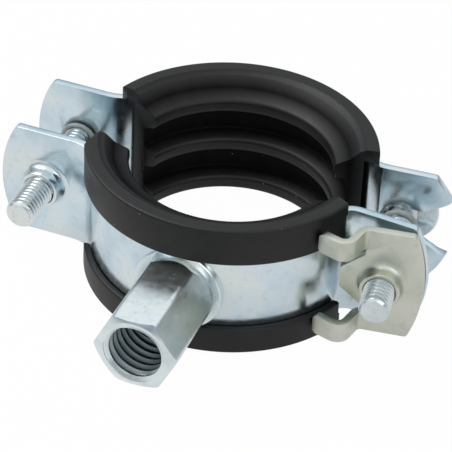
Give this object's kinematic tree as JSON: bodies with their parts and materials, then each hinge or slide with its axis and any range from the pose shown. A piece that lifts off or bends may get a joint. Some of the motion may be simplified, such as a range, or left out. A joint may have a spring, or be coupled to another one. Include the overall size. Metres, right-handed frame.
{
  "type": "rubber lined pipe clamp",
  "caption": "Split steel pipe clamp with a ribbed rubber lining, screwed ears, a hooked nut plate over slotted ears and a hexagon connection nut for a threaded rod.",
  "frame": {"origin": "centre of the pipe bore, at the middle of the clamp's width", "axes": "+Z along the pipe, +X through the ears towards the closing screw, +Y from the connection nut towards the rear half"},
  "size_m": [0.0865, 0.0743, 0.0284],
  "materials": {
    "zinc_steel": "bright zinc plating with a faint blue tint",
    "plate_steel": "zinc plating with a warmer grey tint",
    "screw_steel": "satin zinc plating",
    "rubber": "matt black",
    "retainer_plastic": "matt"
  },
  "bodies": {
    "front_half": {"front_band": "zinc_steel", "connection_nut": "zinc_steel", "front_liner": "rubber"},
    "rear_half": {"rear_band": "zinc_steel", "rear_liner": "rubber", "left_retainer": "retainer_plastic"},
    "left_screw": {"left_screw": "screw_steel"},
    "nut_plate": {"nut_plate": "plate_steel"},
    "right_retainer": {"right_retainer": "retainer_plastic"},
    "right_screw": {"right_screw": "screw_steel"}
  },
  "joints": [
    {"name": "clamp_close", "type": "slide", "parent": "front_half", "child": "rear_half", "axis": [0, -1, 0], "range_m": [0, 0.008]},
    {"name": "left_screw_turn", "type": "hinge", "parent": "rear_half", "child": "left_screw", "pos_m": [-0.035, 0, 0], "axis": [0, -1, 0], "range_deg": [0, 2880]},
    {"name": "plate_swing", "type": "hinge", "parent": "front_half", "child": "nut_plate", "pos_m": [0.0239, -0.0158, 0], "axis": [0, 0, 1], "range_deg": [-6, 0]},
    {"name": "right_screw_slide", "type": "slide", "parent": "nut_plate", "child": "right_retainer", "axis": [0.1478, -0.989, 0], "range_m": [0, 0.008]},
    {"name": "right_screw_turn", "type": "hinge", "parent": "right_retainer", "child": "right_screw", "pos_m": [0.0346, -0.0099, 0], "axis": [0.1478, -0.989, 0], "range_deg": [0, 2880]}
  ],
  "couplings": [
    {"joint": "left_screw_turn", "follows": "clamp_close", "rad_per_m": 6283.2},
    {"joint": "right_screw_slide", "follows": "clamp_close", "ratio": 1},
    {"joint": "right_screw_turn", "follows": "clamp_close", "rad_per_m": 6283.2}
  ]
}
